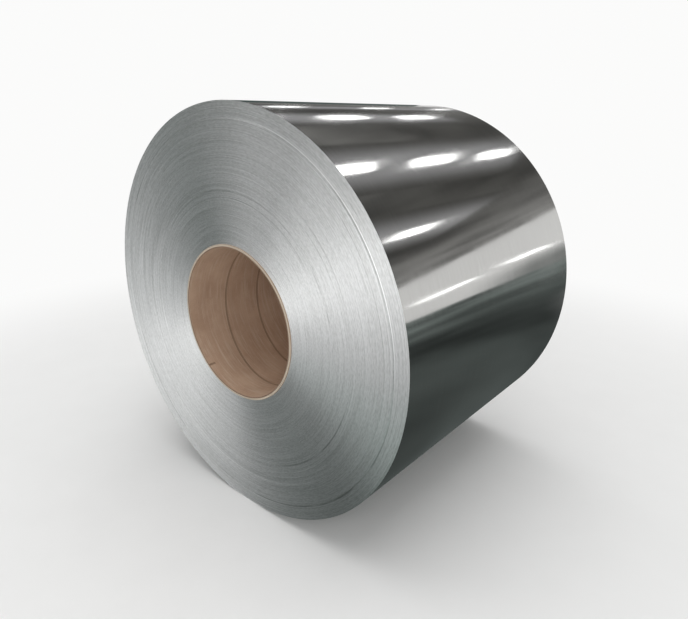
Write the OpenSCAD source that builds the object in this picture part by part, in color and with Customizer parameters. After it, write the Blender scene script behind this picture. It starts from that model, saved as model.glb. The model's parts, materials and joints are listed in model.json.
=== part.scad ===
// Steel coil: bright cold-rolled strip wound on a paper core, lying on its barrel.
// The axis runs along Y, the floor is z = 0 and the front end faces -Y.

/* [Strip] */
// Width of the strip, which is the length of the barrel
strip_w = 1067; // [400:1:1600]
// Thickness of the strip
strip_t = 0.6; // [0.4:0.05:1.2]
// Outer diameter of the wound coil
coil_od = 1380; // [1000:5:1900]

/* [Winding] */
// Turns in each group that moved sideways together as the strip was wound
group_turns = 10; // [8:1:20]
// Furthest that a group of turns stands out of the flat end, or back from it
wander = 1.0; // [0.2:0.1:2]
// Turns in the outer band, which was wound apart from the rest
outer_turns = 80; // [40:10:120]
// How far the outer band sits back at the front end, and out at the back end
outer_shift = 1.4; // [0.4:0.1:2]
// Bevel that parts the edges of neighbouring groups
group_bevel = 0.8; // [0.2:0.1:1.2]

/* [Paper core] */
// Bore of the paper core, which takes the mandrel of an uncoiler
core_bore = 508; // [400:1:620]
// Wall of the paper core
core_wall = 10; // [6:0.5:20]
// How far the core stands out of each end of the coil
core_proud = 3; // [0:0.5:8]
// Gap between the core and the first turn
core_gap = 0.3; // [0.1:0.1:0.9]

/* [Hidden] */
$fn = 180;

coil_r = coil_od / 2;
core_bore_r = core_bore / 2;
core_r = core_bore_r + core_wall;
core_l = strip_w + 2 * core_proud;
first_turn_r = core_r + core_gap;
outer_band_r = coil_r - outer_turns * strip_t;

// Radii at which the groups of turns begin, over a stretch of the winding that they fill exactly
function group_count(inner_r, outer_r) = max(1, round((outer_r - inner_r) / (group_turns * strip_t)));
function group_starts(inner_r, outer_r) =
    let (count = group_count(inner_r, outer_r))
    [for (i = [0 : count - 1]) inner_r + (outer_r - inner_r) * i / count];

starts = concat(group_starts(first_turn_r, outer_band_r), group_starts(outer_band_r, coil_r));
group_n = len(starts);
function group_end(i) = i + 1 < group_n ? starts[i + 1] : coil_r;

// The strip drifts slowly over about twelve groups, and each group jumps a little from the last
drift_step = 31;
jump_step = 137.5;
drift_share = 0.55;
function group_wander(i) =
    wander * (drift_share * sin(drift_step * i) + (1 - drift_share) * sin(jump_step * i));
function group_shift(i) = group_wander(i) + (starts[i] < outer_band_r ? 0 : outer_shift);

// One group's edge at the front end: flat, with a bevel to each neighbour
function front_edge(i) =
    let (y = group_shift(i) - strip_w / 2, a = starts[i], b = group_end(i))
    [[a, y + group_bevel], [a + group_bevel, y], [b - group_bevel, y], [b, y + group_bevel]];

// The strip is as wide in every turn, so the back end is the front end moved by the strip's width
function back_edge(i) =
    let (y = group_shift(i) + strip_w / 2, a = starts[i], b = group_end(i))
    [[b, y - group_bevel], [b - group_bevel, y], [a + group_bevel, y], [a, y - group_bevel]];

winding_section = concat(
    [for (i = [0 : group_n - 1]) each front_edge(i)],
    [for (i = [group_n - 1 : -1 : 0]) each back_edge(i)]
);

// Lays a shape that was turned about Z down on the floor, with its axis along Y
module lie_on_barrel() {
    translate([0, 0, coil_r]) rotate([-90, 0, 0]) children();
}

// The wound strip: one turned solid whose groups of turns show on both ends
module steel_coil() {
    color([0.72, 0.73, 0.73]) lie_on_barrel() rotate_extrude() polygon(winding_section);
}

// The spiral-wound paper tube that the strip was wound on
module paper_core() {
    color([0.60, 0.47, 0.36]) lie_on_barrel() difference() {
        cylinder(h = core_l, r = core_r, center = true);
        cylinder(h = core_l + 2 * core_wall, r = core_bore_r, center = true);
    }
}

steel_coil();
paper_core();
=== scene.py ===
"""Dresses a coil of bright steel strip on its paper core.

A small studio lights it as polished metal is lit, with plain cards and rows of lamps for it to mirror.
"""

import json
import logging
import math
from dataclasses import dataclass
from enum import Enum, IntEnum

import bmesh
import bpy
import numpy as np
from mathutils import Matrix, Vector

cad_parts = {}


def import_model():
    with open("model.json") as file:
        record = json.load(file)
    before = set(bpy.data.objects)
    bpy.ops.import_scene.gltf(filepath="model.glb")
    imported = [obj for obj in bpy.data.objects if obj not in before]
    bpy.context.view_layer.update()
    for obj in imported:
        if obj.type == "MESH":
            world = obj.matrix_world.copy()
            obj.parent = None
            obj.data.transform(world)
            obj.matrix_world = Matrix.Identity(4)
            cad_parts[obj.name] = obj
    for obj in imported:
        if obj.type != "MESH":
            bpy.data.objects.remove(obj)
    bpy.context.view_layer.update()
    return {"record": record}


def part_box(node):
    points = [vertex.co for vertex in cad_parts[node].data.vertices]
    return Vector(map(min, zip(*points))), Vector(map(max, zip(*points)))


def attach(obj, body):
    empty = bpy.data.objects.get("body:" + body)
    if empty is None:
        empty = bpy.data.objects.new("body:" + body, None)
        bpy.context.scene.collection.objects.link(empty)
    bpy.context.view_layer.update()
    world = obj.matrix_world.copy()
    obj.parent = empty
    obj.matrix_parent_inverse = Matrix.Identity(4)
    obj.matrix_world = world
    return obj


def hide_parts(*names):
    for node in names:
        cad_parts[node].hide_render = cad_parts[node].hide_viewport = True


LOG = logging.getLogger("steel_coil")
BODY = "root"
BAKE_MAP = "OFBake"
FULL_TURN = 2 * math.pi
MM = 0.001

# The core lies this far inside the first turn, and stands this far out of each end.
CORE_GAP = 0.3 * MM
CORE_PROUD = 3 * MM

# Points within the weld are joined, edges under the sliver go, and edges over the crease stay crisp.
WELD = 0.002 * MM
SLIVER = 0.001 * MM
CREASE = math.radians(10)

# The empty rim at both sides of a flat map, and the range that most of a noise lies in.
MAP_MARGIN = 0.01
NOISE_RANGE = (0.3, 0.7)

# The dark canopy over the coil, and how a card is turned to stand across the axis or beside it.
CANOPY_HEIGHT = 3.70
CANOPY_TONE = (0.10, 0.099, 0.094)
UPRIGHT = (math.pi / 2, 0.0, 0.0)
SIDEWAYS = (0.0, math.pi / 2, 0.0)

Colour = tuple[float, float, float]
Point = tuple[float, float, float]
Span = tuple[float, float]
Socket = bpy.types.NodeSocket
Value = Socket | float | tuple[float, ...]
Inputs = dict[str | int, Value]


class StripSurface(IntEnum):
    """The material slots of the wound strip."""

    ROLLED = 0
    SLIT = 1


class CoreSurface(IntEnum):
    """The material slots of the paper core."""

    WALL = 0
    CUT = 1
    SEAM = 2


class CoreStrip(IntEnum):
    """The strips of the paper core's flat map."""

    FRONT = 0
    OUTSIDE = 1
    BACK = 2
    BORE = 3


class End(IntEnum):
    """The two ends of the coil, by the way that they face along the axis."""

    FRONT = -1
    BACK = 1


class Fade(Enum):
    """The ways a card's tone can run, as weights of its own axes."""

    ROUND = (1.0, 1.0, 1.0)
    ACROSS = (1.0, 0.0, 0.0)
    LOW = (0.4, 1.0, 1.0)


class LampUse(Enum):
    """What a studio lamp lights: it is mirrored in the metal, or it falls on the matt things."""

    METAL = "metal"
    MATT = "matt"


class Sum(Enum):
    """The sums that the finishes use, by the shader's own names."""

    ADD = "ADD"
    SUBTRACT = "SUBTRACT"
    MULTIPLY = "MULTIPLY"
    MAXIMUM = "MAXIMUM"


@dataclass(frozen=True)
class Cloud:
    """A soft noise: how many features a unit holds, its finer octaves and how strong they are."""

    scale: float
    detail: float = 2.0
    rough: float = 0.5


@dataclass(frozen=True)
class Lines:
    """A noise in long lines round the axis: a line's width, and how often it changes round the coil."""

    pitch: float
    arc: float
    detail: float = 2.0
    rough: float = 0.5


@dataclass(frozen=True)
class Relief:
    """Fine relief: the depth that a height of 1 stands for, and how much of it shows."""

    depth: float
    strength: float = 1.0


class ShaderGraph:
    """The nodes of a material or of the surround, and the few moves that they are made of."""

    def __init__(self, owner: bpy.types.Material | bpy.types.World) -> None:
        """Starts without nodes.

        Args:
            owner: The new material or surround.
        """
        owner.use_nodes = True
        self.owner = owner
        self.tree = owner.node_tree
        self.tree.nodes.clear()

    def node(self, kind: str, inputs: Inputs | None = None, **settings: object) -> bpy.types.Node:
        """Adds a node.

        Args:
            kind: The node's type.
            inputs: What goes into its sockets, by their names or numbers.
            settings: The node's own properties.

        Returns:
            The new node.
        """
        made = self.tree.nodes.new(kind)
        for key, value in settings.items():
            setattr(made, key, value)
        for key, value in (inputs or {}).items():
            self.feed(made.inputs[key], value)
        return made

    def feed(self, socket: Socket, value: Value) -> None:
        """Wires a socket to another, or sets its own value.

        Args:
            socket: The input.
            value: An output to wire in, a number, a vector or a colour.
        """
        if isinstance(value, Socket):
            self.tree.links.new(value, socket)
        elif socket.type == "RGBA":
            socket.default_value = (*value, 1.0)
        else:
            socket.default_value = value

    def sum(self, kind: Sum, a: Value, b: Value) -> Socket:
        """Works out one sum of two numbers."""
        return self.node("ShaderNodeMath", {0: a, 1: b}, operation=kind.value).outputs[0]

    def weigh(self, share: float, a: Socket, b: Socket) -> Socket:
        """Adds two numbers by weight: the first by its share, and the second by the rest of 1."""
        return self.sum(Sum.ADD, self.sum(Sum.MULTIPLY, a, share), self.sum(Sum.MULTIPLY, b, 1 - share))

    def length(self, vector: Socket) -> Socket:
        """Measures a vector."""
        return self.node("ShaderNodeVectorMath", {0: vector}, operation="LENGTH").outputs["Value"]

    def noise(self, vector: Socket, cloud: Cloud) -> Socket:
        """Adds soft noise from 0 to 1, read where the vector says."""
        inputs = {"Vector": vector, "Scale": cloud.scale, "Detail": cloud.detail, "Roughness": cloud.rough}
        return self.node("ShaderNodeTexNoise", inputs).outputs["Fac"]

    def spread(self, value: Socket, source: Span, target: Span = (0.0, 1.0)) -> Socket:
        """Carries one range over to another, held at its ends.

        Args:
            value: The number.
            source: The range that it comes in.
            target: The range that it goes out in.

        Returns:
            The number in its new range.
        """
        ends = dict(zip(("From Min", "From Max", "To Min", "To Max"), (*source, *target)))
        made = self.node("ShaderNodeMapRange", {"Value": value, **ends}, interpolation_type="SMOOTHSTEP")
        return made.outputs["Result"]

    def blend(self, share: Value, a: Value, b: Value) -> Socket:
        """Mixes two colours.

        Args:
            share: How much of the second, from 0 to 1.
            a: The first colour.
            b: The second colour.

        Returns:
            The mixed colour.
        """
        made = self.node("ShaderNodeMix", {"Factor": share}, data_type="RGBA")
        colours = [socket for socket in made.inputs if socket.type == "RGBA"]
        self.feed(colours[0], a)
        self.feed(colours[1], b)
        return next(socket for socket in made.outputs if socket.type == "RGBA")

    def bump(self, height: Socket, relief: Relief, under: Socket | None = None) -> Socket:
        """Turns a height into a normal.

        Args:
            height: The height, from 0 to 1.
            relief: How deep it is.
            under: A normal that it is laid on.

        Returns:
            The new normal.
        """
        inputs = {"Height": height, "Distance": relief.depth, "Strength": relief.strength}
        if under is not None:
            inputs["Normal"] = under
        return self.node("ShaderNodeBump", inputs).outputs["Normal"]

    def layer(self, share: Socket, a: bpy.types.Node, b: bpy.types.Node) -> bpy.types.Node:
        """Mixes two shaders, by the share of the second."""
        return self.node("ShaderNodeMixShader", {0: share, 1: a.outputs[0], 2: b.outputs[0]})

    def surface(self, shader: bpy.types.Node) -> bpy.types.Material:
        """Ends the material with a shader, and hands it over."""
        self.node("ShaderNodeOutputMaterial", {"Surface": shader.outputs[0]})
        return self.owner


class CoilGraph(ShaderGraph):
    """A material that knows the coil's axis, so that its pattern can run round it."""

    quarter_turn: float = 0.25

    def __init__(self, name: str, axis_height: float) -> None:
        """Finds each point's direction from the axis, distance from it and place along it.

        Args:
            name: The material's name.
            axis_height: Height of the coil's axis above the floor.
        """
        super().__init__(bpy.data.materials.new(name))
        self.place = self.node("ShaderNodeTexCoord").outputs["Object"]
        parts = self.node("ShaderNodeSeparateXYZ", {0: self.place}).outputs
        self.along = parts["Y"]
        above = self.sum(Sum.SUBTRACT, parts["Z"], axis_height)
        spoke = self.node("ShaderNodeCombineXYZ", {"X": parts["X"], "Z": above}).outputs[0]
        self.radius = self.length(spoke)
        self.direction = self.node("ShaderNodeVectorMath", {0: spoke}, operation="NORMALIZE").outputs[0]

    def ring_noise(self, across: Socket, lines: Lines) -> Socket:
        """Adds noise in long lines round the axis.

        Args:
            across: What the lines are spaced along: the radius, or the place along the axis.
            lines: What they are like.

        Returns:
            The noise, from 0 to 1.
        """
        around = self.node("ShaderNodeVectorMath", {0: self.direction, "Scale": lines.arc}, operation="SCALE")
        spaced = self.node("ShaderNodeCombineXYZ", {"Y": self.sum(Sum.MULTIPLY, across, 1 / lines.pitch)})
        both = {0: around.outputs[0], 1: spaced.outputs[0]}
        joined = self.node("ShaderNodeVectorMath", both, operation="ADD")
        return self.noise(joined.outputs[0], Cloud(1.0, lines.detail, lines.rough))

    def brushed(self, brushing: float) -> Inputs:
        """Lets a metal's shine fan out from the axis, across the lines that run round it."""
        tangent = self.node("ShaderNodeTangent", direction_type="RADIAL", axis="Y").outputs[0]
        return {"Metallic": 1.0, "Anisotropic": brushing, "Anisotropic Rotation": self.quarter_turn,
                "Tangent": tangent}


@dataclass(frozen=True)
class RolledSteel:
    """The strip's mirror-bright rolled face, which shows on the barrel."""

    dark: Colour = (0.49, 0.488, 0.475)
    bright: Colour = (0.57, 0.567, 0.555)
    polish: Span = (0.06, 0.12)
    brushing: float = 0.6
    roll_lines: Lines = Lines(pitch=5 * MM, arc=2.0, detail=4.0, rough=0.6)
    film: Cloud = Cloud(scale=3.2, detail=3.0, rough=0.55)
    ripple: Lines = Lines(pitch=160 * MM, arc=3.0, detail=1.0, rough=0.4)
    line_share: float = 0.35
    line_relief: Relief = Relief(0.004 * MM)
    ripple_relief: Relief = Relief(0.30 * MM)

    def material(self, axis_height: float) -> bpy.types.Material:
        """Makes the finish.

        Args:
            axis_height: Height of the coil's axis above the floor.

        Returns:
            The material.
        """
        graph = CoilGraph("rolled_steel", axis_height)
        lines = graph.ring_noise(graph.along, self.roll_lines)
        dulled = graph.weigh(self.line_share, lines, graph.noise(graph.place, self.film))
        wave = graph.bump(graph.ring_noise(graph.along, self.ripple), self.ripple_relief)
        return graph.surface(graph.node("ShaderNodeBsdfPrincipled", {
            "Base Color": graph.blend(lines, self.dark, self.bright),
            "Roughness": graph.spread(dulled, NOISE_RANGE, self.polish),
            "Normal": graph.bump(lines, self.line_relief, wave),
            **graph.brushed(self.brushing),
        }))


@dataclass(frozen=True)
class RingMark:
    """A mark along one turn on the coil's ends, over part of the way round; its angles are in degrees."""

    radius: float
    width: float
    share: float
    middle: float
    gone: float
    full: float
    solid: float = 0.2

    def mask(self, graph: CoilGraph) -> Socket:
        """Finds the mark, which is full over the solid share of its width and then fades.

        Args:
            graph: The finish's nodes.

        Returns:
            How much of the mark each point has, from 0 to its share.
        """
        offset = graph.sum(Sum.SUBTRACT, graph.radius, self.radius)
        away = graph.node("ShaderNodeMath", {0: offset}, operation="ABSOLUTE").outputs[0]
        half = self.width / 2
        ring = graph.spread(away, (self.solid * half, half), (self.share, 0.0))
        middle = math.radians(self.middle)
        aim = (math.sin(middle), 0.0, math.cos(middle))
        facing = graph.node("ShaderNodeVectorMath", {0: graph.direction, 1: aim}, operation="DOT_PRODUCT")
        stretch = (math.cos(math.radians(self.gone)), math.cos(math.radians(self.full)))
        return graph.sum(Sum.MULTIPLY, ring, graph.spread(facing.outputs["Value"], stretch))


@dataclass(frozen=True)
class SlitSteel:
    """The strip's slit edges, wound side by side into the satin ends of the coil."""

    dark: Colour = (0.52, 0.525, 0.52)
    bright: Colour = (0.75, 0.755, 0.755)
    # A near-white tone for the painted highlights on the outer band's step.
    painted_highlight: Colour = (0.95, 0.955, 0.955)
    # A dark tone for the painted shade along single turns of the ends.
    painted_shade_tone: Colour = (0.22, 0.226, 0.222)
    satin: Span = (0.43, 0.54)
    brushing: float = 0.88
    lines: Lines = Lines(pitch=3.4 * MM, arc=1.6, detail=3.0, rough=0.65)
    dashes: Lines = Lines(pitch=3.0 * MM, arc=42.0, detail=2.0, rough=0.6)
    turns: Lines = Lines(pitch=1.2 * MM, arc=5.0, detail=1.0, rough=0.5)
    patches: Lines = Lines(pitch=9 * MM, arc=4.0)
    line_share: float = 0.55
    tone_range: Span = (0.32, 0.66)
    patch_range: Span = (0.40, 0.58)
    patch_share: Span = (0.12, 1.0)
    line_relief: Relief = Relief(0.18 * MM, 0.6)
    turn_relief: Relief = Relief(0.03 * MM, 0.5)
    # Painted highlights: bright lines along two turns of the outer band at the upper right, standing in for
    # light caught on the edge of its step.
    painted_highlights: tuple[RingMark, ...] = (
        RingMark(643.5 * MM, 4.0 * MM, share=1.0, middle=50, gone=50, full=25),
        RingMark(634.2 * MM, 3.0 * MM, share=0.5, middle=50, gone=50, full=25),
    )
    # Painted shade: dark lines along single turns over part of the way round, in the corner at the foot of
    # the outer band's step and along three of the steps between groups of turns.
    painted_shade_lines: tuple[RingMark, ...] = (
        RingMark(643.0 * MM, 6.5 * MM, share=0.60, middle=205, gone=150, full=95),
        RingMark(499.0 * MM, 6.0 * MM, share=0.55, middle=132, gone=32, full=12),
        RingMark(431.0 * MM, 5.5 * MM, share=0.45, middle=30, gone=75, full=35),
        RingMark(411.0 * MM, 5.0 * MM, share=0.40, middle=20, gone=55, full=25),
    )

    def material(self, axis_height: float) -> bpy.types.Material:
        """Makes the finish.

        Args:
            axis_height: Height of the coil's axis above the floor.

        Returns:
            The material.
        """
        graph = CoilGraph("slit_steel", axis_height)
        lines = graph.ring_noise(graph.radius, self.lines)
        dashes = graph.ring_noise(graph.radius, self.dashes)
        turns = graph.ring_noise(graph.radius, self.turns)
        tone = graph.spread(graph.weigh(self.line_share, lines, dashes), self.tone_range)
        clean = graph.blend(tone, self.dark, self.bright)
        patches = graph.ring_noise(graph.radius, self.patches)
        broken = graph.spread(patches, self.patch_range, self.patch_share)
        # Painted shade along the marked turns, broken up in patches.
        painted_shade_lines = graph.sum(Sum.MULTIPLY, self.marked(graph, self.painted_shade_lines), broken)
        painted_shade_laid = graph.blend(painted_shade_lines, clean, self.painted_shade_tone)
        broad = graph.bump(lines, self.line_relief)
        # The painted highlights are laid over the painted shade.
        return graph.surface(graph.node("ShaderNodeBsdfPrincipled", {
            "Base Color": graph.blend(self.marked(graph, self.painted_highlights), painted_shade_laid, self.painted_highlight),
            "Roughness": graph.spread(lines, NOISE_RANGE, self.satin),
            "Normal": graph.bump(turns, self.turn_relief, broad),
            **graph.brushed(self.brushing),
        }))

    def marked(self, graph: CoilGraph, marks: tuple[RingMark, ...]) -> Socket:
        """Lays several marks over one another.

        Args:
            graph: The finish's nodes.
            marks: The marks.

        Returns:
            The strongest mark at each point, from 0 to 1.
        """
        most = marks[0].mask(graph)
        for mark in marks[1:]:
            most = graph.sum(Sum.MAXIMUM, most, mark.mask(graph))
        return most


@dataclass(frozen=True)
class KraftBoard:
    """The brown face of the paper core, with its fibres and scuffs."""

    name: str = "kraft_board"
    dark: Colour = (0.415, 0.280, 0.195)
    bright: Colour = (0.535, 0.382, 0.277)
    scuffed: Colour = (0.575, 0.448, 0.347)
    dullness: Span = (0.58, 0.74)
    gloss: float = 0.35
    fibres: Cloud = Cloud(scale=420.0, detail=4.0, rough=0.7)
    clouds: Cloud = Cloud(scale=9.0, detail=4.0, rough=0.6)
    scuffs: Lines = Lines(pitch=7 * MM, arc=2.4, detail=3.0, rough=0.6)
    fibre_share: float = 0.4
    tone_range: Span = (0.35, 0.65)
    scuff_range: Span = (0.46, 0.74)
    scuff_share: Span = (0.0, 0.75)
    fibre_relief: Relief = Relief(0.12 * MM, 0.6)

    def material(self, axis_height: float) -> bpy.types.Material:
        """Makes the finish.

        Args:
            axis_height: Height of the coil's axis above the floor.

        Returns:
            The material.
        """
        graph = CoilGraph(self.name, axis_height)
        fibres = graph.noise(graph.place, self.fibres)
        clouds = graph.noise(graph.place, self.clouds)
        tone = graph.spread(graph.weigh(self.fibre_share, fibres, clouds), self.tone_range)
        board = graph.blend(tone, self.dark, self.bright)
        scuffs = graph.spread(graph.ring_noise(graph.along, self.scuffs), self.scuff_range, self.scuff_share)
        return graph.surface(graph.node("ShaderNodeBsdfPrincipled", {
            "Base Color": graph.blend(scuffs, board, self.scuffed),
            "Roughness": graph.spread(clouds, NOISE_RANGE, self.dullness),
            "Specular IOR Level": self.gloss,
            "Normal": graph.bump(fibres, self.fibre_relief),
        }))


@dataclass(frozen=True)
class CutBoard:
    """The core's pale sawn ends, where the plies show as rings, with painted shade in a dark band along the
    edge at the bore.
    """

    bore: float
    # Painted shade: a dark band along the inner edge of each sawn end, where the rim meets the bore.
    rim_painted_shade: Colour = (0.22, 0.148, 0.105)
    rim_shade_width: float = 3.6 * MM
    rim_shade_blur: float = 0.5 * MM
    ply: Colour = (0.36, 0.30, 0.235)
    pulp: Colour = (0.56, 0.485, 0.39)
    dullness: Span = (0.80, 0.95)
    gloss: float = 0.25
    rings: Lines = Lines(pitch=1.1 * MM, arc=3.0)
    ring_range: Span = (0.3, 0.6)
    fuzz: Cloud = Cloud(scale=900.0, detail=3.0, rough=0.7)
    fuzz_range: Span = (0.2, 0.8)
    fuzz_relief: Relief = Relief(0.25 * MM, 0.7)

    def material(self, axis_height: float) -> bpy.types.Material:
        """Makes the finish.

        Args:
            axis_height: Height of the coil's axis above the floor.

        Returns:
            The material.
        """
        graph = CoilGraph("cut_board", axis_height)
        rings = graph.spread(graph.ring_noise(graph.radius, self.rings), self.ring_range)
        plies = graph.blend(rings, self.ply, self.pulp)
        fuzz = graph.noise(graph.place, self.fuzz)
        last = self.bore + self.rim_shade_width
        # How much painted shade each point has: full at the bore, and gone past the band.
        rim_shade_share = graph.spread(graph.radius, (last - self.rim_shade_blur, last + self.rim_shade_blur), (1.0, 0.0))
        return graph.surface(graph.node("ShaderNodeBsdfPrincipled", {
            "Base Color": graph.blend(rim_shade_share, plies, self.rim_painted_shade),
            "Roughness": graph.spread(fuzz, self.fuzz_range, self.dullness),
            "Specular IOR Level": self.gloss,
            "Normal": graph.bump(fuzz, self.fuzz_relief),
        }))


@dataclass(frozen=True)
class Sections:
    """A skin swept round the coil's axis, given as one section for each angle."""

    angles: np.ndarray
    radii: np.ndarray
    places: np.ndarray
    surfaces: np.ndarray
    maps: np.ndarray

    def mesh(self, name: str, axis_height: float) -> bpy.types.Mesh:
        """Joins the sections into one closed mesh.

        Args:
            name: The mesh's name.
            axis_height: Height of the axis above the floor.

        Returns:
            The mesh, with its material numbers and its flat map.
        """
        columns, points = self.radii.shape
        sines, cosines = np.sin(self.angles)[:, None], np.cos(self.angles)[:, None]
        spots = np.stack([self.radii * sines, self.places, axis_height + self.radii * cosines], axis=-1)
        column, point = np.meshgrid(np.arange(columns - 1), np.arange(points), indexing="ij")
        here, beyond = column * points, (column + 1) * points
        after = (point + 1) % points
        corners = np.stack([here + point, beyond + point, beyond + after, here + after], axis=-1)
        made = bpy.data.meshes.new(name)
        made.from_pydata(spots.reshape(-1, 3).tolist(), [], corners.reshape(-1, 4).tolist())
        made.polygons.foreach_set("material_index", np.tile(self.surfaces, columns - 1).astype(np.int32))
        made.uv_layers.new(name=BAKE_MAP).uv.foreach_set("vector", self.corner_map())
        work = bmesh.new()
        work.from_mesh(made)
        bmesh.ops.remove_doubles(work, verts=work.verts, dist=WELD)
        bmesh.ops.dissolve_degenerate(work, edges=work.edges, dist=SLIVER)
        work.to_mesh(made)
        work.free()
        made.shade_smooth()
        made.set_sharp_from_angle(angle=CREASE)
        return made

    def corner_map(self) -> np.ndarray:
        """Lays the faces out flat, for the exported textures.

        Returns:
            Two numbers for each corner of each face, in a row.
        """
        here, beyond = self.maps[:-1], self.maps[1:]
        corners = np.stack([here[..., 0, :], beyond[..., 0, :], beyond[..., 1, :], here[..., 1, :]], axis=-2)
        return corners.astype(np.float32).ravel()


@dataclass
class WoundStrip:
    """The steel strip, wound into one coil whose groups of turns show on its ends."""

    radius: float
    bore: float
    width: float
    turn: float = 0.6 * MM
    group_turns: int = 10
    outer_turns: int = 80
    wander: float = 0.35 * MM
    outer_shift: float = 1.4 * MM
    bevel: float = 0.5 * MM
    valley: float = 0.14 * MM
    step_run: float = 1.7
    stops: tuple[float, ...] = (0.596, 0.626, 0.729, 0.813)
    stop_shift: float = 0.45 * MM
    drift_step: float = math.radians(31)
    jump_step: float = math.radians(137.5)
    drift_share: float = 0.55
    breathing: float = 0.16 * MM
    breath_steps: Span = (2.4, 4.1)
    second_breath: float = 0.6
    columns: int = 224
    barrel_rows: int = 5
    tail_angle: float = math.radians(190)
    tail_edge: float = 0.05 * MM
    disc_size: float = 0.24
    disc_places: Span = (0.25, 0.75)
    disc_height: float = 0.74
    barrel_strip: Span = (0.06, 0.24)
    bore_strip: Span = (0.36, 0.06)

    @property
    def axis_height(self) -> float:
        """Height of the axis: the coil lies on its barrel."""
        return self.radius

    @property
    def band(self) -> float:
        """The radius at which the outer band begins."""
        return self.radius - self.outer_turns * self.turn

    def group_edges(self) -> np.ndarray:
        """Divides the winding into even groups of turns.

        Returns:
            The radii at which the groups begin, and the last one's end.
        """
        group = self.group_turns * self.turn
        inner = max(1, round((self.band - self.bore) / group))
        outer = max(1, round((self.radius - self.band) / group))
        inside = np.linspace(self.bore, self.band, inner + 1)[:-1]
        return np.concatenate([inside, np.linspace(self.band, self.radius, outer + 1)])

    def shifts(self, edges: np.ndarray, angles: np.ndarray) -> np.ndarray:
        """How far each group moved towards the back end as it was wound.

        Args:
            edges: The radii of the groups' edges.
            angles: The angles of the columns.

        Returns:
            One distance for each column and group.
        """
        starts = edges[:-1]
        number = np.arange(len(starts))
        drift = self.drift_share * np.sin(self.drift_step * number)
        jump = (1 - self.drift_share) * np.sin(self.jump_step * number)
        still = self.wander * (drift + jump) + np.where(starts < self.band - self.turn, 0.0, self.outer_shift)
        for count, stop in enumerate(self.stops):
            still += (-1) ** count * self.stop_shift * (starts > stop * self.radius)
        once = np.sin(angles[:, None] + self.breath_steps[0] * number)
        twice = np.sin(2 * angles[:, None] + self.breath_steps[1] * number)
        return still + self.breathing * (once + self.second_breath * twice)

    def column_angles(self) -> np.ndarray:
        """Goes once round, from one side of the tail's edge to the other.

        Returns:
            The angles of the sections from the top.
        """
        edge = self.tail_edge / self.radius
        start = self.tail_angle + edge
        return np.append(start + np.linspace(0, FULL_TURN - 2 * edge, self.columns + 1), start + FULL_TURN)

    def outline(self, end: End, rims: np.ndarray, shifts: np.ndarray) -> tuple[np.ndarray, np.ndarray]:
        """One end from the bore outwards: each group is flat, and bevels run down to the valleys beside it.

        Args:
            end: Which end.
            rims: The radii of the groups' edges in each column.
            shifts: How far each group moved in each column.

        Returns:
            The radii and the places along the axis in each column.
        """
        flat = shifts + end * self.width / 2
        lower = np.minimum if end is End.BACK else np.maximum
        met = np.concatenate([flat[:, :1], lower(flat[:, :-1], flat[:, 1:]), flat[:, -1:]], axis=1)
        deep = met - end * self.valley
        rise = self.bevel + self.step_run * np.abs(flat - met[:, :-1])
        fall = self.bevel + self.step_run * np.abs(flat - met[:, 1:])
        radii = np.stack([rims[:, :-1], rims[:, :-1] + rise, rims[:, 1:] - fall], axis=-1)
        places = np.stack([deep[:, :-1], flat, flat], axis=-1)
        radii = np.concatenate([radii.reshape(len(rims), -1), rims[:, -1:]], axis=1)
        places = np.concatenate([places.reshape(len(rims), -1), deep[:, -1:]], axis=1)
        return radii, places

    def sections(self) -> Sections:
        """Works out the coil's section at each angle: front end, barrel, back end.

        Returns:
            The sections, in which the last turn grows to its full thickness at the tail.
        """
        angles = self.column_angles()
        edges = self.group_edges()
        shifts = self.shifts(edges, angles)
        grown = np.clip((angles - angles[0]) / (angles[-2] - angles[0]), 0, 1)
        grown[-1] = 0.0
        outer = self.radius - self.turn * (1 - grown)
        rims = np.broadcast_to(edges, (len(angles), len(edges))).copy()
        rims[:, -1] = outer
        front_r, front_y = self.outline(End.FRONT, rims, shifts)
        back_r, back_y = self.outline(End.BACK, rims, shifts)
        step = np.linspace(0, 1, self.barrel_rows + 2)[1:-1]
        barrel_y = front_y[:, -1:] * (1 - step) + back_y[:, -1:] * step
        barrel_r = np.broadcast_to(outer[:, None], barrel_y.shape)
        radii = np.concatenate([front_r, barrel_r, back_r[:, ::-1]], axis=1)
        places = np.concatenate([front_y, barrel_y, back_y[:, ::-1]], axis=1)
        count = front_r.shape[1]
        surfaces = np.full(radii.shape[1], StripSurface.SLIT)
        surfaces[count - 1:count + self.barrel_rows] = StripSurface.ROLLED
        surfaces[-1] = StripSurface.ROLLED
        maps = self.flat_map(angles, radii, places, surfaces, count)
        return Sections(angles, radii, places, surfaces, maps)

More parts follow.
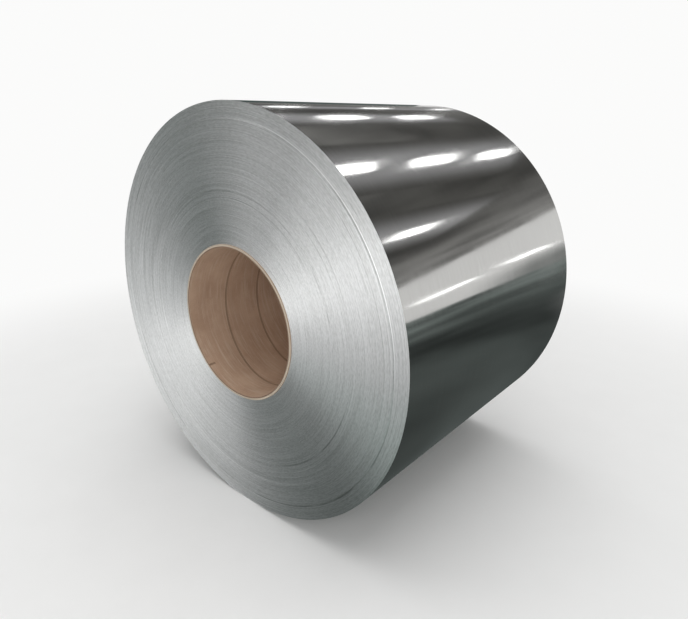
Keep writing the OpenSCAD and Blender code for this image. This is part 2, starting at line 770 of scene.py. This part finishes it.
    def flat_map(self, angles: np.ndarray, radii: np.ndarray, places: np.ndarray,
                 surfaces: np.ndarray, count: int) -> np.ndarray:
        """Lays the two ends out as discs, and the barrel and the bore as strips under them.

        Args:
            angles: The angles of the columns.
            radii: Each point's distance from the axis.
            places: Each point's place along the axis.
            surfaces: The material number of each stretch of the section.
            count: How many points the front end has.

        Returns:
            For each column and stretch, the map at its two ends.
        """
        number = np.arange(radii.shape[1])
        centre = np.where(number < count, *self.disc_places)
        shrunk = self.disc_size / self.radius * radii
        flat = np.stack([centre + shrunk * np.sin(angles)[:, None],
                         self.disc_height + shrunk * np.cos(angles)[:, None]], axis=-1)
        turned = (angles - angles[0])[:, None] / FULL_TURN
        across = np.broadcast_to(MAP_MARGIN + (1 - 2 * MAP_MARGIN) * turned, radii.shape)
        along = places / self.width + 0.5
        barrel, bore = (np.stack([across, low + height * along], axis=-1)
                        for low, height in (self.barrel_strip, self.bore_strip))
        rolled = (surfaces == StripSurface.ROLLED)[None, :, None]
        inside = (number == number[-1])[None, :, None]
        laid = np.where(inside, bore, np.where(rolled, barrel, flat))
        following = np.where(rolled, np.roll(barrel, -1, axis=1), np.roll(flat, -1, axis=1))
        return np.stack([laid, np.where(inside, np.roll(bore, -1, axis=1), following)], axis=-2)

    def build(self) -> bpy.types.Object:
        """Makes the coil and gives it its two finishes.

        Returns:
            The coil.
        """
        mesh = self.sections().mesh("wound_strip", self.axis_height)
        for finish in (RolledSteel(), SlitSteel()):
            mesh.materials.append(finish.material(self.axis_height))
        return link("wound_strip", mesh)


@dataclass
class PaperCore:
    """The spiral-wound paper tube that the strip is wound on."""

    radius: float
    bore: float
    length: float
    axis_height: float
    ply: float = 1.0 * MM
    ply_groove: float = 0.22 * MM
    edge: float = 0.7 * MM
    edge_round: float = 0.3
    seam_pitch: float = 153 * MM
    seam_gap: float = 4.2 * MM
    seam_slope: float = 2.0 * MM
    seam_depth: float = 0.6 * MM
    seam_free: float = 55 * MM
    seam_fade: float = 15 * MM
    seam_angle: float = math.radians(250)
    seam_place: float = 154 * MM
    seam_shade: float = 0.35
    # A darker board for the bottoms of the seams and for the nick: painted shade in these hollows.
    seam_shade_finish: KraftBoard = KraftBoard(
        "seam_painted_shade", dark=(0.25, 0.165, 0.111), bright=(0.33, 0.23, 0.158), scuffed=(0.36, 0.26, 0.183))
    spare_seams: tuple[int, int] = (3, 2)
    nick_angle: float = math.radians(219.5)
    nick_width: float = 8 * MM
    nick_length: float = 25 * MM
    nick_depth: float = 2.6 * MM
    nick_spread: float = 2.0
    nick_fall: int = 3
    nick_steps: tuple[float, ...] = (0.12, 0.5, 1.0)
    nick_clear: float = 1.6
    columns: int = 192
    map_strips: tuple[Span, ...] = ((0.02, 0.06), (0.12, 0.20), (0.36, 0.06), (0.46, 0.52))

    @property
    def end(self) -> float:
        """Place of the back end along the axis."""
        return self.length / 2

    @property
    def nick_half(self) -> float:
        """The angle from the middle of the nick to its side."""
        return self.nick_width / 2 / self.bore

    def column_angles(self) -> np.ndarray:
        """Goes once round in even steps, apart from three close columns at the nick.

        Returns:
            The angles of the sections.
        """
        even = np.linspace(0, FULL_TURN, self.columns + 1)
        clear = even[np.abs(even - self.nick_angle) > self.nick_clear * self.nick_half]
        nick = [self.nick_angle - self.nick_half, self.nick_angle, self.nick_angle + self.nick_half]
        return np.sort(np.append(clear, nick))

    def rim(self) -> tuple[np.ndarray, np.ndarray]:
        """One sawn end from the bore outwards, with round edges and ply lines.

        Returns:
            The radii, and the depths below the end.
        """
        rounding = self.edge_round * self.edge
        radii = [self.bore, self.bore + rounding, self.bore + self.edge]
        depths = [self.edge, rounding, 0.0]
        for joint in np.arange(self.bore + self.ply, self.radius - self.ply / 2, self.ply):
            radii += [joint - self.ply_groove, joint, joint + self.ply_groove]
            depths += [0.0, self.ply_groove, 0.0]
        radii += [self.radius - self.edge, self.radius - rounding, self.radius]
        depths += [0.0, rounding, self.edge]
        return np.array(radii), np.array(depths)

    def bore_wall(self, angle: float, number: np.ndarray) -> tuple[np.ndarray, np.ndarray]:
        """The bore's wall at one angle, from back to front, with its spiral seams and points for the nick.

        Args:
            angle: The angle of the section.
            number: The seams' numbers.

        Returns:
            The wall's radii and places along the axis.
        """
        front = -self.end + self.edge
        turned = (angle - self.seam_angle) / FULL_TURN
        seams = -self.end + self.seam_place + self.seam_pitch * (number + turned)
        half = self.seam_gap / 2
        lips = np.array([-half - self.seam_slope, -half, half, half + self.seam_slope])
        places = (seams[:, None] + lips).ravel()
        opened = np.clip((np.repeat(seams, len(lips)) - front - self.seam_free) / self.seam_fade, 0, 1)
        depths = np.tile([0.0, self.seam_depth, self.seam_depth, 0.0], len(seams)) * opened
        depths[places > -front] = 0.0
        steps = front + self.nick_length * np.array(self.nick_steps)
        places = np.clip(np.concatenate([places, steps]), front, -front)
        depths = np.concatenate([depths, np.zeros(len(steps))])
        order = np.argsort(-places, kind="stable")
        return self.bore + depths[order], places[order]

    def sections(self) -> Sections:
        """Works out the tube's section at each angle: front rim, outside, back rim, bore.

        Returns:
            The sections.
        """
        angles = self.column_angles()
        rim_r, rim_d = self.rim()
        before, beyond = self.spare_seams
        number = np.arange(-before, math.ceil(self.length / self.seam_pitch) + beyond)
        across = np.clip(1 - (rim_r - self.bore) / (self.nick_spread * self.nick_depth), 0, 1)
        radii, places = [], []
        for angle in angles:
            wall_r, wall_y = self.bore_wall(angle, number)
            nick = self.nick_depth * max(0.0, 1 - abs(angle - self.nick_angle) / self.nick_half)
            worn = 1 - np.clip((wall_y + self.end) / self.nick_length, 0, 1) ** self.nick_fall
            radii.append(np.concatenate([rim_r + nick * across, rim_r[::-1], wall_r + nick * worn]))
            places.append(np.concatenate([rim_d - self.end, (self.end - rim_d)[::-1], wall_y]))
        radii, places = np.array(radii), np.array(places)
        rim = len(rim_r)
        surfaces = np.full(radii.shape[1], CoreSurface.WALL)
        surfaces[:rim - 1] = CoreSurface.CUT
        surfaces[rim:2 * rim - 1] = CoreSurface.CUT
        return Sections(angles, radii, places, surfaces, self.flat_map(angles, radii, places, rim))

    def flat_map(self, angles: np.ndarray, radii: np.ndarray, places: np.ndarray, rim: int) -> np.ndarray:
        """Lays the bore, the outside and the two rims out as strips.

        Args:
            angles: The angles of the columns.
            radii: Each point's distance from the axis.
            places: Each point's place along the axis.
            rim: How many points a rim has.

        Returns:
            For each column and stretch, the map at its two ends.
        """
        across = MAP_MARGIN + (1 - 2 * MAP_MARGIN) * angles[:, None] / FULL_TURN
        across = np.broadcast_to(across, radii.shape)
        along = places / self.length + 0.5
        wall = (radii - self.bore) / (self.radius - self.bore)
        shares = (wall, along, wall, along)
        rows = np.stack([low + height * share for (low, height), share in zip(self.map_strips, shares)])
        number = np.arange(radii.shape[1])
        shown = np.select([number < rim - 1, number == rim - 1, number < 2 * rim - 1],
                          [CoreStrip.FRONT, CoreStrip.OUTSIDE, CoreStrip.BACK], CoreStrip.BORE)
        pick = np.broadcast_to(shown, radii.shape)[None]
        first = np.take_along_axis(rows, pick, axis=0)[0]
        second = np.take_along_axis(np.roll(rows, -1, axis=2), pick, axis=0)[0]
        return np.stack([np.stack([across, first], axis=-1), np.stack([across, second], axis=-1)], axis=-2)

    def mark_seams(self, mesh: bpy.types.Mesh) -> None:
        """Gives the faces at the bottom of the seams and in the nick their own darker finish, which is
        painted shade in these hollows.

        Args:
            mesh: The finished tube.
        """
        for face in mesh.polygons:
            spoke = Vector((face.center.x, 0, face.center.z - self.axis_height))
            depth = spoke.length - self.bore
            inside = face.normal.dot(spoke) < 0 and abs(face.center.y) < self.end - self.edge
            if inside and depth > self.seam_shade * self.seam_depth:
                face.material_index = CoreSurface.SEAM

    def build(self) -> bpy.types.Object:
        """Makes the tube and gives it its three finishes.

        Returns:
            The tube.
        """
        mesh = self.sections().mesh("spiral_core", self.axis_height)
        for finish in (KraftBoard(), CutBoard(self.bore), self.seam_shade_finish):
            mesh.materials.append(finish.material(self.axis_height))
        self.mark_seams(mesh)
        return link("spiral_core", mesh)


@dataclass(frozen=True)
class Card:
    """A plain card that only the metal shows, as studios set them round polished things.

    Its tone goes from near to far over its reach, or melts away if far is none.
    """

    name: str
    middle: Point
    size: Span
    near: Colour
    far: Colour | None
    reach: Span
    fade: Fade = Fade.ROUND
    turn: Point = (0.0, 0.0, 0.0)
    mottle: float = 0.0
    mottle_cloud: Cloud = Cloud(scale=0.55, detail=3.0, rough=0.5)
    lit: bool = False

    def material(self) -> bpy.types.Material:
        """Makes the card's tone.

        Returns:
            The material.
        """
        graph = ShaderGraph(bpy.data.materials.new(self.name))
        place = graph.node("ShaderNodeTexCoord").outputs["Object"]
        weighed = graph.node("ShaderNodeVectorMath", {0: place, 1: self.fade.value}, operation="MULTIPLY")
        share = graph.spread(graph.length(weighed.outputs[0]), self.reach)
        tone = self.near if self.far is None else graph.blend(share, self.near, self.far)
        shader = graph.node("ShaderNodeEmission", {"Color": tone})
        if self.mottle:
            clouds = graph.noise(place, self.mottle_cloud)
            strength = graph.spread(clouds, NOISE_RANGE, (1 - self.mottle, 1 + self.mottle))
            graph.feed(shader.inputs["Strength"], strength)
        if self.far is None:
            shader = graph.layer(share, shader, graph.node("ShaderNodeBsdfTransparent"))
        material = graph.surface(shader)
        material.cycles.emission_sampling = "AUTO" if self.lit else "NONE"
        return material

    def build(self) -> None:
        """Sets the card up, where only the metal sees it."""
        card = sheet(self.name, self.size, self.material())
        card.location = self.middle
        card.rotation_euler = self.turn
        card.visible_camera = False
        card.visible_diffuse = False
        card.visible_transmission = False
        card.visible_shadow = False


@dataclass(frozen=True)
class LampRow:
    """A row of strip lamps under the canopy, with the glow that they throw on it."""

    across: float
    first: float
    pitch: float
    count: int
    lamp: Span = (0.24, 0.82)
    lamp_drop: float = 0.08
    lamp_middle: Colour = (6.0, 6.0, 6.0)
    lamp_edge: Colour = (3.0, 3.0, 3.0)
    lamp_reach: Span = (0.1, 0.5)
    glow: Colour = (0.42, 0.42, 0.43)
    glow_drop: float = 0.04
    glow_width: float = 1.5
    glow_heart: float = 0.1

    def build(self) -> None:
        """Hangs the glow, and then the lamps."""
        last = self.first + self.pitch * (self.count - 1)
        middle = (self.across, (self.first + last) / 2, CANOPY_HEIGHT - self.glow_drop)
        Card(f"glow_{self.across:+.1f}", middle, size=(self.glow_width, self.pitch * self.count),
             near=self.glow, far=CANOPY_TONE, reach=(self.glow_heart, self.glow_width / 2),
             fade=Fade.ACROSS).build()
        for number in range(self.count):
            place = (self.across, self.first + self.pitch * number, CANOPY_HEIGHT - self.lamp_drop)
            Card(f"lamp_{self.across:+.1f}_{number}", place, size=self.lamp, near=self.lamp_middle,
                 far=self.lamp_edge, reach=self.lamp_reach, lit=True).build()


@dataclass(frozen=True)
class StudioLamp:
    """A soft rectangular lamp."""

    name: str
    place: Point
    aim: Point
    size: Span
    watts: float
    use: LampUse

    def build(self) -> None:
        """Hangs the lamp."""
        light = bpy.data.lights.new(self.name, "AREA")
        light.shape = "RECTANGLE"
        light.size, light.size_y = self.size
        light.energy = self.watts
        lamp = link(self.name, light)
        lamp.location = self.place
        lamp.rotation_mode = "QUATERNION"
        lamp.rotation_quaternion = (Vector(self.aim) - Vector(self.place)).to_track_quat("-Z", "Y")
        lamp.visible_camera = False
        lamp.visible_glossy = self.use is LampUse.METAL
        lamp.visible_diffuse = self.use is LampUse.MATT


@dataclass
class Studio:
    """The pale floor, the lamps, the cards and the camera."""

    pale: Colour = (0.965, 0.965, 0.96)
    ambient: float = 0.55
    floor_size: float = 60.0
    floor_clear: Span = (1.3, 3.4)
    floor_dark: Colour = (0.86, 0.86, 0.855)
    floor_bright: Colour = (0.89, 0.89, 0.885)
    floor_grain: Cloud = Cloud(scale=6.0, detail=3.0, rough=0.5)
    floor_dullness: float = 0.9
    floor_gloss: float = 0.1
    bounce: Colour = (1.28, 1.27, 1.28)
    heart_drop: float = 0.02
    low_strips: tuple[Span, ...] = ((4.3, 1.1), (2.95, 0.5))
    lens: float = 28.94
    sensor: float = 36.0
    camera_place: Point = (1.383, -1.588, 1.333)
    yaw: float = math.radians(40.8)
    pitch: float = math.radians(19.2)

    def build_world(self) -> None:
        """Makes the pale surround, which the camera and the metal see alike."""
        world = bpy.data.worlds.new("pale_surround")
        graph = ShaderGraph(world)
        path = graph.node("ShaderNodeLightPath").outputs
        seen = path["Is Camera Ray"]
        for name in ("Is Glossy Ray", "Is Transmission Ray"):
            seen = graph.sum(Sum.MAXIMUM, seen, path[name])
        power = graph.node("ShaderNodeMapRange", {"Value": seen, "To Min": self.ambient, "To Max": 1.0})
        inputs = {"Color": self.pale, "Strength": power.outputs["Result"]}
        shade = graph.node("ShaderNodeBackground", inputs)
        graph.node("ShaderNodeOutputWorld", {"Surface": shade.outputs[0]})
        bpy.context.scene.world = world

    def build_floor(self) -> None:
        """Makes the pale floor, which runs out into the surround."""
        graph = ShaderGraph(bpy.data.materials.new("pale_floor"))
        place = graph.node("ShaderNodeTexCoord").outputs["Object"]
        grain = graph.noise(place, self.floor_grain)
        paper = graph.node("ShaderNodeBsdfPrincipled", {
            "Base Color": graph.blend(grain, self.floor_dark, self.floor_bright),
            "Roughness": self.floor_dullness,
            "Specular IOR Level": self.floor_gloss,
        })
        away = graph.node("ShaderNodeEmission", {"Color": self.pale})
        far = graph.spread(graph.length(place), self.floor_clear)
        material = graph.surface(graph.layer(far, paper, away))
        material.cycles.emission_sampling = "NONE"
        sheet("pale_floor", (self.floor_size, self.floor_size), material)

    def build_canopy(self) -> None:
        """Hangs a dark canopy over the coil, and rows of strip lamps under it."""
        Card("canopy", (0, 0, CANOPY_HEIGHT), size=(27, 27), near=CANOPY_TONE, far=(0.30, 0.297, 0.29),
             reach=(6.0, 13.0), mottle=0.4).build()
        Card("canopy_heart", (0, 0, CANOPY_HEIGHT - self.heart_drop), size=(10, 10),
             near=(0.24, 0.238, 0.23), far=CANOPY_TONE, reach=(2.0, 4.6), mottle=0.4).build()
        for row in (
            LampRow(across=-4.5, first=-8.7, pitch=2.2, count=9),
            LampRow(across=-2.2, first=-3.9, pitch=1.5, count=7, lamp=(0.34, 0.82)),
            LampRow(across=0.47, first=-4.95, pitch=1.45, count=8, lamp=(0.29, 0.82), glow_width=1.8),
            LampRow(across=3.3, first=-4.7, pitch=3.2, count=4, lamp=(0.38, 0.95), glow_width=2.2),
            LampRow(across=6.0, first=-8.8, pitch=2.2, count=5),
        ):
            row.build()

    def build_cards(self) -> None:
        """Sets a dark mat and plain cards round the coil."""
        for card in (
            Card("mat", (1.2, 1.5, 0.006), size=(16, 16), near=(0.066, 0.076, 0.073),
                 far=(0.178, 0.205, 0.197), reach=(1.0, 4.2), mottle=0.5),
            Card("front_bounce", (-0.05, -3.1, 0.012), size=(5.0, 5.0), near=self.bounce,
                 far=None, reach=(0.8, 2.4)),
            Card("corner_bounce", (0.80, -1.17, 0.014), size=(1.8, 1.4), near=(0.57, 0.68, 0.65),
                 far=None, reach=(0.15, 0.68)),
            Card("back_bounce", (-0.35, 3.2, 0.012), size=(4.2, 4.2), near=self.bounce,
                 far=None, reach=(0.5, 2.0)),
            Card("wing", (-3.0, -4.2, 1.35), size=(2.1, 2.1), near=(1.6, 1.6, 1.64),
                 far=None, reach=(0.35, 1.05), turn=UPRIGHT),
            Card("flag", (-4.0, 1.6, 1.3), size=(2.6, 10.0), near=(0.070, 0.091, 0.086),
                 far=(0.084, 0.109, 0.103), reach=(1.0, 5.0), turn=SIDEWAYS),
            Card("low_flag", (3.9, 9.0, 0.15), size=(7.0, 2.4), near=(0.27, 0.28, 0.275),
                 far=None, reach=(0.3, 1.1), fade=Fade.LOW, turn=UPRIGHT),
        ):
            card.build()
        for across, width in self.low_strips:
            Card(f"low_strip_{across}", (across, 5.0, 1.03), size=(width, 0.07), near=(5.0, 5.0, 5.0),
                 far=(3.0, 3.0, 3.0), reach=(0.1, 0.6), turn=UPRIGHT, lit=True).build()

    def build_lamps(self) -> None:
        """Hangs two soft lamps for the paper and the floor, and one before each end for the steel."""
        for lamp in (
            StudioLamp("overhead", (0, 0, 4.6), aim=(0, 0, 0), size=(5, 5), watts=125, use=LampUse.MATT),
            StudioLamp("fill", (2.1, -3.2, 2.1), aim=(0, -0.6, 0.6), size=(2, 2), watts=30, use=LampUse.MATT),
            StudioLamp("frontal", (-0.95, -4.1, 0.52), aim=(0, -0.5, 0.62), size=(2.6, 1.02), watts=30,
                       use=LampUse.METAL),
            StudioLamp("rear", (0.55, 4.2, 0.52), aim=(0, 0.5, 0.62), size=(2.2, 1.02), watts=27,
                       use=LampUse.METAL),
        ):
            lamp.build()

    def build_camera(self) -> None:
        """Sets the camera where the photograph was taken from."""
        sin_yaw, cos_yaw = math.sin(self.yaw), math.cos(self.yaw)
        back = Vector((sin_yaw * math.cos(self.pitch), -cos_yaw * math.cos(self.pitch), math.sin(self.pitch)))
        right = Vector((cos_yaw, sin_yaw, 0))
        up = back.cross(right)
        data = bpy.data.cameras.new("camera")
        data.sensor_fit = "HORIZONTAL"
        data.sensor_width = self.sensor
        data.lens = self.lens
        camera = link("camera", data)
        turned = Matrix((right, up, back)).transposed().to_4x4()
        camera.matrix_world = Matrix.Translation(Vector(self.camera_place)) @ turned
        bpy.context.scene.camera = camera

    def build(self) -> None:
        """Sets the whole studio up."""
        bpy.context.scene.view_settings.view_transform = "Standard"
        self.build_world()
        self.build_floor()
        self.build_canopy()
        self.build_cards()
        self.build_lamps()
        self.build_camera()


def link(name: str, data: bpy.types.ID) -> bpy.types.Object:
    """Puts an object into the scene.

    Args:
        name: The object's name.
        data: Its mesh, lamp or camera.

    Returns:
        The object.
    """
    made = bpy.data.objects.new(name, data)
    bpy.context.scene.collection.objects.link(made)
    return made


def sheet(name: str, size: Span, material: bpy.types.Material) -> bpy.types.Object:
    """Puts a flat rectangle into the scene, level and round its own middle.

    Args:
        name: The object's name.
        size: Its width and its height.
        material: Its finish.

    Returns:
        The rectangle.
    """
    x, y = size[0] / 2, size[1] / 2
    mesh = bpy.data.meshes.new(name)
    mesh.from_pydata([(-x, -y, 0), (x, -y, 0), (x, y, 0), (-x, y, 0)], [], [(0, 1, 2, 3)])
    mesh.materials.append(material)
    return link(name, mesh)


def place_piece(piece: bpy.types.Object, node: str) -> None:
    """Lets a piece stand for a CAD node, and reports it.

    Args:
        piece: The dressed piece.
        node: The node that it stands for.
    """
    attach(piece, BODY)
    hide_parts(node)
    LOG.info("%s stands for %s with %d faces", piece.name, node, len(piece.data.polygons))


def main() -> None:
    """Builds the two pieces and the studio round them."""
    logging.basicConfig(level=logging.INFO, format="%(name)s: %(message)s")
    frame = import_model()
    steel_low, steel_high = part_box("steel_coil")
    core_low, core_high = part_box("paper_core")
    mounts = {mount["name"]: mount for mount in frame["record"]["mounts"]}
    core_radius = (core_high.x - core_low.x) / 2
    core_length = core_high.y - core_low.y
    strip = WoundStrip(
        radius=(steel_high.z - steel_low.z) / 2,
        bore=core_radius + CORE_GAP,
        width=core_length - 2 * CORE_PROUD,
    )
    core = PaperCore(
        radius=core_radius,
        bore=mounts["mandrel_bore"]["dims"]["r_mm"] * MM,
        length=core_length,
        axis_height=strip.axis_height,
    )
    place_piece(strip.build(), "steel_coil")
    place_piece(core.build(), "paper_core")
    Studio().build()


if __name__ == "__main__":
    main()
